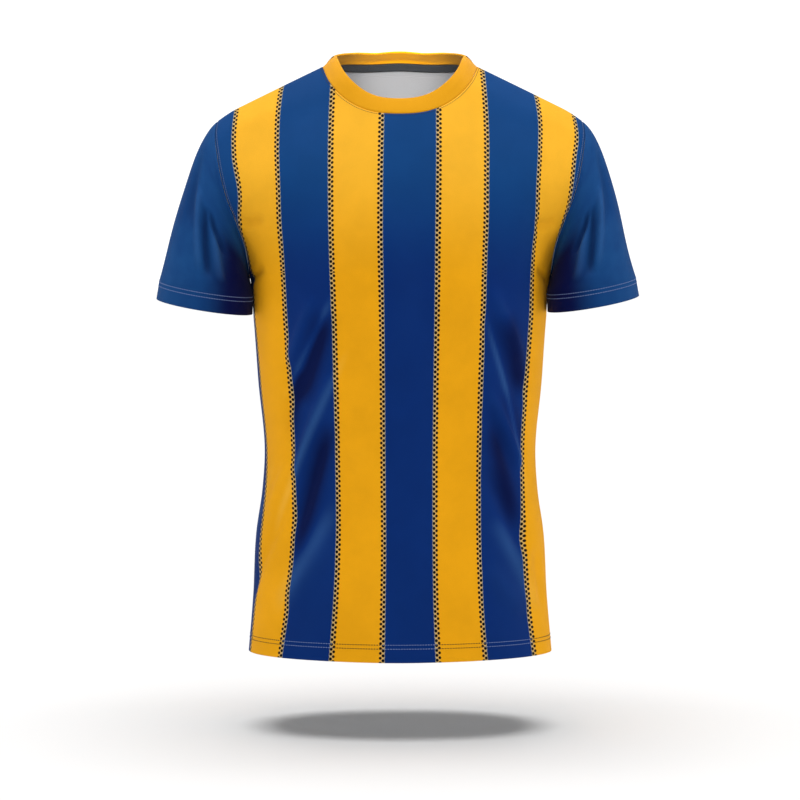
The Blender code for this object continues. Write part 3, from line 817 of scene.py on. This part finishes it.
# Around (0 underarm, 0.25 front, 0.5 outer side, 0.75 back) and down (0 armhole, 1 cuff) of a fold's
# start and of its end, then its half width and lift
sleeveFolds = (
    (0.345, 0.30, 0.262, 0.82, 0.0065, 0.0034),
    (0.300, 0.36, 0.236, 0.84, 0.0080, -0.0036),
    (0.275, 0.34, 0.190, 0.56, 0.0060, -0.0030),
    (0.245, 0.42, 0.190, 0.84, 0.0070, 0.0030),
    (0.400, 0.14, 0.350, 0.60, 0.0090, -0.0016),
    (0.690, 0.30, 0.760, 0.76, 0.0080, 0.0034),
    (0.735, 0.25, 0.810, 0.70, 0.0080, -0.0034),
    (0.600, 0.20, 0.640, 0.60, 0.0100, -0.0018),
)
sleeveSizes = {
    "columns": 132, "rows": 62, "cuffRows": 7, "cuffDepth": 0.021,
    "clear": 0.0004, "strip": 0.0014,      # off the armhole's edge, and the strip beside its seam
    "turn": 0.0015,                        # the step above the cuff
    "innerSwing": 0.25, "flare": 8,        # share of the tilt at the inner side, degrees at the outer
    "reachOut": (0.003, 0.112),            # how far the cloth holds its way from the armhole
    "reachIn": (0.020, 0.125, 0.050),      # and its way into the cuff
}


def evenPlaces(rises, across, count):
    points = barePoint(rises, across)
    lengths = runLength(points)
    at = np.linspace(0, lengths[-1], count)
    return np.interp(at, lengths, rises), np.interp(at, lengths, across)


armholeClimb = np.linspace(0, 1, 241) ** 2 * (shoulderSeam - underarm)


def evenRing(*runs):
    # Even places round a closed line. Each run: rises, places across, steps
    places = [evenPlaces(rises, across, steps + 1) for rises, across, steps in runs]
    return [np.concatenate([place[i][:-1] for place in places]) for i in range(2)]


def armholeRing(side, count):
    # From the underarm up the front and down the back
    upFront, downBack = underarm + armholeClimb, backHem - underarm - armholeClimb[::-1]
    rises, across = evenRing((upFront, armholeAcross(upFront), count // 2),
                             (downBack, armholeAcross(downBack), count - count // 2))
    across = across * side
    points, normals = torsoPoint(rises, across), bareNormal(rises, across)
    # The ring's direction is taken over 14 mm to both sides, which keeps the sleeve's columns apart
    closed = np.vstack([points, points[:1]])
    lengths = runLength(closed)
    ahead, behind = [np.stack([np.interp((lengths[:-1] + way) % lengths[-1], lengths, closed[:, axis])
                               for axis in range(3)], 1) for way in (0.014, -0.014)]
    return points, normals, unit(np.cross(unit(ahead - behind), normals) * side), np.arange(count) / count


def hanging(side, lean, forward):
    outward = np.stack([side * np.cos(lean), np.zeros(len(lean)), np.sin(lean)], -1)
    return unit(np.cross(outward, forward) * side)


def sleeveRows(name):
    sizes = sleeveSizes
    x, y, z, halfWidth, halfDepth, tiltBy, pitchBy = cuffs[name]
    side = math.copysign(1.0, x)
    points, normals, wayOut, shares = armholeRing(side, sizes["columns"])
    tilt, pitch = math.radians(tiltBy), math.radians(pitchBy)
    outward = np.array([side * math.cos(tilt), 0.0, math.sin(tilt)])
    forward = np.array([0.0, -math.cos(pitch), -math.sin(pitch)])
    upward = 0.5 - 0.5 * np.cos(2 * np.pi * shares)
    # The inner side of the sleeve hangs straighter, because it lies along the body
    swing = tilt * (sizes["innerSwing"] + (1 - sizes["innerSwing"]) * upward)
    down = hanging(side, swing, forward)
    arrive = hanging(side, swing + math.radians(sizes["flare"]) * upward ** 4, forward)
    lean = np.radians(90 * (1 - upward) ** 2)[:, None]
    startWay = wayOut * np.cos(lean) + normals * np.sin(lean)
    start = points + sizes["clear"] * wayOut
    strip = start + sizes["strip"] * startWay
    angle = 2 * np.pi * shares[:, None]
    edge = np.array([x, y, z]) + halfDepth * np.sin(angle) * forward - halfWidth * np.cos(angle) * outward
    turnStart = edge - (sizes["cuffDepth"] + sizes["turn"]) * down
    least, most = sizes["reachOut"]
    reachOut = (least + most * upward ** 2)[:, None]
    least, most, outermost = sizes["reachIn"]
    reachIn = (least + most * upward + outermost * upward ** 4)[:, None]
    rows = [start, start + sizes["strip"] / 2 * startWay]
    for t in np.linspace(0, 1, sizes["rows"] + 1):
        rows.append(strip * (1 + 2 * t) * (1 - t) ** 2 + startWay * reachOut * t * (1 - t) ** 2
                    + turnStart * t * t * (3 - 2 * t) + arrive * reachIn * t * t * (t - 1))
    rows.append(turnStart + 0.0010 * down)
    for t in np.linspace(0.15, 1.0, sizes["cuffRows"] - 1):
        rows.append(turnStart + (sizes["turn"] + sizes["cuffDepth"] * t) * down)
    return np.array(rows), shares, side, down


def liftSleeve(rows, shares, side):
    count = len(rows)
    girth = np.linalg.norm(np.roll(rows, -1, axis=1) - rows, axis=2).sum(1).mean()
    fall = np.linalg.norm(np.diff(rows[:, len(shares) // 2], axis=0), axis=1).sum()
    around = np.roll(rows, -1, axis=1) - np.roll(rows, 1, axis=1)
    normals = unit(np.cross(np.gradient(rows, axis=0), around) * side)
    # Share of the way down, with the armhole strip and the cuff left out of the folds
    down = np.clip((np.arange(count) - 2) / (count - 2 - sleeveSizes["cuffRows"]), 0, 1)[:, None]
    across, along = np.broadcast_arrays(shares[None, :] * girth, down * fall)
    lift = 0.0
    for startShare, startDown, endShare, endDown, halfWidth, height in sleeveFolds:
        start, end = (startShare * girth, startDown * fall), (endShare * girth, endDown * fall)
        lift = lift + foldLift(start, end, halfWidth, height * foldStrength["sleeves"], across, along)
    # The two sleeves take their unevenness from different stretches of the waves
    lift = lift + slack(along * 1.7 + 3.0 * side, across) * np.sin(np.pi * down) ** 0.7
    dip = np.zeros((count, 1))
    dip[:2, 0] = -panelSizes["seamDip"], -0.0002
    flat = np.stack([across, fall - along], -1)
    return rows + (lift + dip)[..., None] * normals, flat, girth, normals, lift / fullFold


sleeves, cuffRows = {}, sleeveSizes["cuffRows"]
for name in cuffs:
    rows, shares, side, down = sleeveRows(name)
    rows, flat, girth, normals, foldShading = liftSleeve(rows, shares, side)
    layers = [panelSizes["cloth"] / panelSizes["hemCloth"]] * (len(rows) - cuffRows) + [1.0] * cuffRows
    grid, turn = rows, girth
    if side > 0:
        grid, flat, turn, foldShading = rows[:, ::-1], flat[:, ::-1], -girth, foldShading[:, ::-1]
    obj = clothPiece(name, grid, flat, turn, [sleeveCloth, reverse], panelSizes["hemCloth"], layers, foldShading)
    sleeves[name] = (obj, rows, normals, down)
print("sleeves made")

bandSizes = {"width": 0.0215, "cloth": 0.0024, "lift": 16.0, "lean": 14.0, "columns": 240, "gap": 0.0003,
             "frontShare": 0.56, "swell": 0.0005, "bend": 0.010, "behind": (0.014, 0.030)}


def necklineAt(angles, back):
    rises = necklineRise(np.sin(angles), back)
    return rises, neckShare * np.sin(angles) * armholeAcross(rises)


def necklineRing(count):
    # From the -X shoulder seam round the front, then back behind the neck
    angles = neckAngles(361)
    share = bandSizes["frontShare"]
    behind = [values[::-1] for values in necklineAt(angles, True)]
    return evenRing((*necklineAt(angles, False), int(count * share)), (*behind, int(count * (1 - share))))


def bandSection():
    # Rows of the folded band: up its outside, over the fold and down its inside
    band = bandSizes
    rises, across = necklineRing(band["columns"])
    points, normals = torsoPoint(rises, across), bareNormal(rises, across)
    along = unit(np.roll(points, -1, axis=0) - np.roll(points, 1, axis=0))
    wayIn = unit(np.cross(normals, along))
    side = (np.abs(points[:, 0]) / panelSizes["neckHalfWidth"])[:, None]
    # It stands up from the shoulders at the sides and leans in behind the neck
    behindFrom, over = band["behind"]
    behind = np.clip((points[:, 1:2] - behindFrom) / over, 0, 1)
    lift = band["lift"] * side * side - band["lean"] * behind * (1 - np.minimum(1, side) ** 2)
    start = points + band["gap"] * wayIn
    outer, outs = [], []
    for width in np.concatenate([[0.0], np.linspace(0.0015, band["width"] - band["cloth"] / 2, 9)]):
        turn = np.radians(lift * min(1.0, width / band["bend"]))
        way = wayIn * np.cos(turn) + normals * np.sin(turn)
        out = normals * np.cos(turn) - wayIn * np.sin(turn)
        # The band swells softly between its seam and its fold
        swell = math.sin(math.pi * min(1, width / band["width"])) - math.exp(-(width / 0.0015) ** 2)
        outer.append(start + width * way + band["swell"] * swell * out)
        outs.append(out)
    half = band["cloth"] / 2
    fold = [outer[-1] + half * math.sin(angle) * way - half * (1 - math.cos(angle)) * out
            for angle in np.linspace(0, math.pi, 7)[1:-1]]
    inner = [row - band["cloth"] * out for row, out in zip(outer[::-1], outs[::-1])]
    return points, np.array(outer + fold + inner)


def neckbandPiece(name):
    points, grid = bandSection()
    rows, columns = grid.shape[:2]
    around, upward = runLength(np.vstack([points, points[:1]])), runLength(grid[:, 0])
    faces, corners = [], []
    for r in range(rows):
        s = (r + 1) % rows
        low, high = upward[r], upward[s] if s else upward[r] + bandSizes["cloth"]
        for c in range(columns):
            d = (c + 1) % columns
            faces.append((r * columns + c, r * columns + d, s * columns + d, s * columns + c))
            corners += [around[c], low, around[c + 1], low, around[c + 1], high, around[c], high]
    mesh = bpy.data.meshes.new(name)
    mesh.from_pydata(grid.reshape(-1, 3).tolist(), [], faces)
    mesh.uv_layers.new(name="flat").data.foreach_set("uv", np.array(corners, np.float32))
    mesh.materials.append(bandCloth)
    mesh.shade_smooth()
    return addObject(name, mesh)


neckband = neckbandPiece("neckbandRib")

tapeSizes = {"width": 0.0135, "cloth": 0.0010, "columns": 120, "rows": 7, "inside": 0.0016, "short": 0.10,
             "flatScale": 0.10}


def awayFromNeck(rises, across):
    return unit(np.stack([np.gradient(across), -np.gradient(rises)], 1))


def neckTapePiece(name):
    sizes = tapeSizes
    rows, flat = [], []
    angles = neckAngles(sizes["columns"] + 1, sizes["short"])
    rises, edge = necklineAt(angles, True)
    away = awayFromNeck(rises, edge)
    for width in np.linspace(0.0010, sizes["width"], sizes["rows"]):
        rows.append(torsoPoint(rises + width * away[:, 0], edge + width * away[:, 1], -sizes["inside"]))
        flat.append(np.stack([angles * sizes["flatScale"], np.full(len(angles), width)], -1))
    return clothPiece(name, np.array(rows), np.array(flat), False, [tapeCloth], sizes["cloth"])


neckTape = neckTapePiece("neckTape")
print("neckband and tape made")


# Stitches: a bent row of short threads that follow a path on the cloth
def stitchTree():
    tree = bpy.data.node_groups.new("stitchRow", "GeometryNodeTree")
    sockets = tree.interface
    sockets.new_socket("Path", in_out="INPUT", socket_type="NodeSocketGeometry")
    for key, value in {"Pitch": 0.0032, "Length": 0.0024, "Width": 0.0008, "Height": 0.0005}.items():
        sockets.new_socket(key, in_out="INPUT", socket_type="NodeSocketFloat").default_value = value
    sockets.new_socket("Thread", in_out="INPUT", socket_type="NodeSocketMaterial")
    sockets.new_socket("Stitches", in_out="OUTPUT", socket_type="NodeSocketGeometry")

    def add(kind, values, settings=None):
        node = tree.nodes.new(kind)
        for key, value in (settings or {}).items():
            setattr(node, key, value)
        for key, value in values.items():
            if isinstance(value, bpy.types.NodeSocket):
                tree.links.new(value, node.inputs[key])
            else:
                node.inputs[key].default_value = value
        return node.outputs

    given = add("NodeGroupInput", {})
    curve = add("GeometryNodeMeshToCurve", {"Mesh": given["Path"]})["Curve"]
    spaced = add("GeometryNodeResampleCurve", {"Curve": curve, "Length": given["Pitch"]}, {"mode": "LENGTH"})
    bead = add("GeometryNodeMeshUVSphere", {"Segments": 6, "Rings": 4, "Radius": 0.5})
    size = add("ShaderNodeCombineXYZ", {0: given["Length"], 1: given["Width"], 2: given["Height"]})
    tangent = add("GeometryNodeInputTangent", {})["Tangent"]
    outward = add("GeometryNodeInputNamedAttribute", {"Name": "clothNormal"}, {"data_type": "FLOAT_VECTOR"})
    along = add("FunctionNodeAlignRotationToVector", {"Vector": tangent}, {"axis": "X"})["Rotation"]
    upright = add("FunctionNodeAlignRotationToVector", {"Rotation": along, "Vector": outward["Attribute"]},
                  {"axis": "Z", "pivot_axis": "X"})
    scatter = add("GeometryNodeInstanceOnPoints", {"Points": spaced["Curve"], "Instance": bead["Mesh"],
                                                   "Rotation": upright["Rotation"], "Scale": size[0]})
    real = add("GeometryNodeRealizeInstances", {"Geometry": scatter["Instances"]})
    paint = add("GeometryNodeSetMaterial", {"Geometry": real["Geometry"], "Material": given["Thread"]})
    add("NodeGroupOutput", {"Stitches": paint["Geometry"]})
    return tree


stitching = stitchTree()


def stitchRows(name, paths, thread, sizes):
    # paths: (points, normals, closed). Each row lies a little above the cloth
    points, normals, edges = [], [], []
    for path, up, closed in paths:
        first = len(points)
        points += (path + up * sizes["lift"]).tolist()
        normals += up.tolist()
        edges += [(first + i, first + i + 1) for i in range(len(path) - 1)]
        if closed:
            edges.append((first + len(path) - 1, first))
    mesh = bpy.data.meshes.new(name + "Path")
    mesh.from_pydata(points, edges, [])
    outward = mesh.attributes.new("clothNormal", "FLOAT_VECTOR", "POINT")
    outward.data.foreach_set("vector", np.array(normals, np.float32).ravel())
    guide = addObject(name + "Path", mesh)
    nodes = guide.modifiers.new("stitches", "NODES")
    nodes.node_group = stitching
    inputs = {item.name: item.identifier for item in stitching.interface.items_tree if item.in_out == "INPUT"}
    for key in ("Pitch", "Length", "Width", "Height"):
        nodes[inputs[key]] = sizes[key.lower()]
    nodes[inputs["Thread"]] = thread
    graph = bpy.context.evaluated_depsgraph_get()
    made = bpy.data.meshes.new_from_object(guide.evaluated_get(graph), preserve_all_data_layers=True,
                                           depsgraph=graph)
    made.name = name
    bpy.data.objects.remove(guide)
    made.shade_smooth()
    if not made.materials:
        made.materials.append(thread)
    return addObject(name, made)


def clothPath(rises, across):
    return torsoPoint(rises, across), bareNormal(rises, across), False


hemStitch = {"pitch": 0.0031, "length": 0.0025, "width": 0.0011, "height": 0.0006, "lift": 0.00008,
             "rows": (0.0165, 0.0212), "end": 0.0012, "shortest": 0.004}


def stretchesOf(rise, wanted):
    # The parts of a level row that run over yellow or over blue print
    across = np.linspace(-1, 1, 1201) * (float(armholeAcross(rise)) - hemStitch["end"])
    flat = printPlace(backHem - rise if rise > shoulderSeam else rise, across)
    onYellow = np.zeros(len(flat), bool)
    for low, high in zip(printEdges[::2], printEdges[1::2]):
        onYellow |= (flat > low) & (flat < high)
    keep = onYellow if wanted == "yellow" else ~onYellow
    runs = np.split(across, np.flatnonzero(np.diff(keep)) + 1)
    return [run for run in runs[0 if keep[0] else 1::2] if run[-1] - run[0] > hemStitch["shortest"]]


def hemPaths(wanted):
    paths = []
    for height in hemStitch["rows"]:
        for rise in (height, backHem - height):
            paths += [clothPath(np.full(len(run), rise), run) for run in stretchesOf(rise, wanted)]
    return paths


hemBlue = stitchRows("hemStitchesOnBlue", hemPaths("blue"), threadOnBlue, hemStitch)
hemYellow = stitchRows("hemStitchesOnYellow", hemPaths("yellow"), threadOnYellow, hemStitch)

# The armhole's row lies inset on the panels and starts a little above the underarm
seamStitch = {"pitch": 0.0027, "length": 0.0021, "width": 0.0007, "height": 0.0004, "lift": 0.00005,
              "inset": 0.0028, "above": 0.0008, "reach": 0.996}


def armholePaths(side):
    up = underarm + seamStitch["above"] + armholeClimb[6:] * seamStitch["reach"]
    inset = seamStitch["inset"]
    return [clothPath(rises, (armholeAcross(rises) - inset) * side) for rises in (up, backHem - up)]


cuffStitches, armholeStitches = {}, {}
for name, (obj, rows, normals, down) in sleeves.items():
    paths = [(rows[-1] - height * down, normals[-3], True) for height in hemStitch["rows"]]
    cuffStitches[name] = stitchRows(name + "CuffStitches", paths, threadOnBlue, hemStitch)
    paths = armholePaths(math.copysign(1.0, cuffs[name][0]))
    armholeStitches[name] = stitchRows(name + "ArmholeStitches", paths, seamThread, seamStitch)

neckStitch = {"pitch": 0.0026, "length": 0.0023, "width": 0.0007, "height": 0.0004, "lift": 0.00005,
              "inset": 0.0020, "short": 0.05}


def neckPath(isBack):
    # A row on the panel just outside the neckband
    angles = neckAngles(241, neckStitch["short"])
    rises, across = necklineAt(angles, isBack)
    away = awayFromNeck(rises, across) * neckStitch["inset"] * (1 if isBack else -1)
    return clothPath(rises + away[:, 0], across + away[:, 1])


neckStitches = stitchRows("neckStitches", [neckPath(False), neckPath(True)], neckThread, neckStitch)
print("stitches made")

for obj in (front, back, neckband, neckTape, hemBlue, hemYellow, *[s[0] for s in sleeves.values()],
            *cuffStitches.values(), *armholeStitches.values(), neckStitches):
    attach(obj, "root")
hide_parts("front")
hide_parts("back")
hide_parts("sleeve_left")
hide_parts("sleeve_right")
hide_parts("neckband")
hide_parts("neck_tape")

# Studio: pale floor, one wide soft light above, softer ones in front and at the sides, two at the neck
studio = {
    "lamps": {      # place, target, width and height, strength
        "front light": ((0, -2.6, 2.3), (0, 0, -0.15), (2.4, 1.2), 30.5),
        "left light": ((-2.7, -1.0, 0.3), (0, 0, -0.4), (0.9, 1.8), 14.0),
        "right light": ((2.7, -1.0, 0.3), (0, 0, -0.4), (0.9, 1.8), 20.0),
    },
    "neck light": ((0, 0.05, 0.020), 4.2, 98.0),        # target, degrees, strength
    "band light": ((0, 0.085, 0.060), 5.2, 300.0),
    "bandColour": (1.0, 0.86, 0.45),
    "spots": {"place": (0, -2.0, 0.45), "blend": 0.4, "soft": 0.03},
    "sky": {"strength": 2.90, "width": 52.0, "turn": (-1.0, -1.0, 0.0)},
    "air": 0.24,
    "background": 1.2,
    "floor": {"below": 0.090, "slope": 0.035, "colour": (0.9, 0.9, 0.9, 1.0),
              "corners": ((-12, -8), (12, -8), (12, 16), (-12, 16))},
    "camera": {"place": (0, -3.5, -0.28), "target": (0, 0, -0.404), "away": 3.502, "view": 0.968},
}


def aimed(name, data, place, target):
    obj = addObject(name, data)
    obj.location = place
    obj.rotation_euler = (Vector(target) - Vector(place)).to_track_quat("-Z", "Y").to_euler()
    return obj


def lamp(name, place, target, size, power):
    data = bpy.data.lights.new(name, "AREA")
    data.shape, data.size, data.size_y, data.energy = "RECTANGLE", size[0], size[1], power
    return aimed(name, data, place, target)


def spotlight(name):
    target, degrees, power = studio[name]
    data = bpy.data.lights.new(name, "SPOT")
    data.energy, data.spot_size = power, math.radians(degrees)
    data.spot_blend, data.shadow_soft_size = studio["spots"]["blend"], studio["spots"]["soft"]
    return aimed(name, data, studio["spots"]["place"], target)


def lightOnly(name, lights, pieces):
    group = bpy.data.collections.new(name)
    bpy.context.scene.collection.children.link(group)
    for piece in pieces:
        group.objects.link(piece)
    for light in lights:
        light.light_linking.receiver_collection = group


# A slight rise towards the back widens the shadow, as in the photo
slope = studio["floor"]["slope"]
floorHeight = torsoRows[0][2] - studio["floor"]["below"]
floorMesh = bpy.data.meshes.new("floor")
corners = [(x, y, floorHeight + slope * y) for x, y in studio["floor"]["corners"]]
floorMesh.from_pydata(corners, [], [(0, 1, 2, 3)])
floor = addObject("floor", floorMesh)
floorPaint = Maker("pale floor")
place = floorPaint.wire("ShaderNodeTexCoord", 3)
dull = 0.8 + floorPaint.noise(place, 3.0) * 0.05
floorMesh.materials.append(floorPaint.finish(studio["floor"]["colour"], dull))

shirtLights = [lamp(name, *values) for name, values in studio["lamps"].items()]
spotlight("neck light")
# One more for the inside of the neckband's back alone
bandLight = spotlight("band light")
bandLight.data.color = studio["bandColour"]
lightOnly("lit by the band light", [bandLight], [neckband])
# The floor is lit from above alone, so that only the soft shadow below the shirt shows on it
shirtPieces = [obj for obj in bpy.context.scene.objects if obj.type == "MESH" and obj is not floor]
lightOnly("lit by the lamps", shirtLights, shirtPieces)
skyData = bpy.data.lights.new("light above", "SUN")
skyData.energy, skyData.angle = studio["sky"]["strength"], math.radians(studio["sky"]["width"])
sky = addObject("light above", skyData)
sky.location = (0, -0.5, 2.5)
sky.rotation_euler = [math.radians(angle) for angle in studio["sky"]["turn"]]

# The camera sees a white background, brighter than the air that lights the shirt
world = bpy.data.worlds.new("studio air")
bpy.context.scene.world = world
world.use_nodes = True
air = world.node_tree.nodes["Background"]
rays = world.node_tree.nodes.new("ShaderNodeLightPath")
blendAir = world.node_tree.nodes.new("ShaderNodeMix")
blendAir.inputs[2].default_value, blendAir.inputs[3].default_value = studio["air"], studio["background"]
world.node_tree.links.new(rays.outputs["Is Camera Ray"], blendAir.inputs[0])
world.node_tree.links.new(blendAir.outputs[0], air.inputs["Strength"])
air.inputs["Color"].default_value = (1, 1, 1, 1)
bpy.context.scene.view_settings.view_transform = "Standard"

view = studio["camera"]
camera = aimed("camera", bpy.data.cameras.new("camera"), view["place"], view["target"])
camera.data.sensor_width = 36.0
camera.data.lens = camera.data.sensor_width * view["away"] / view["view"]
bpy.context.scene.camera = camera
print("studio made")
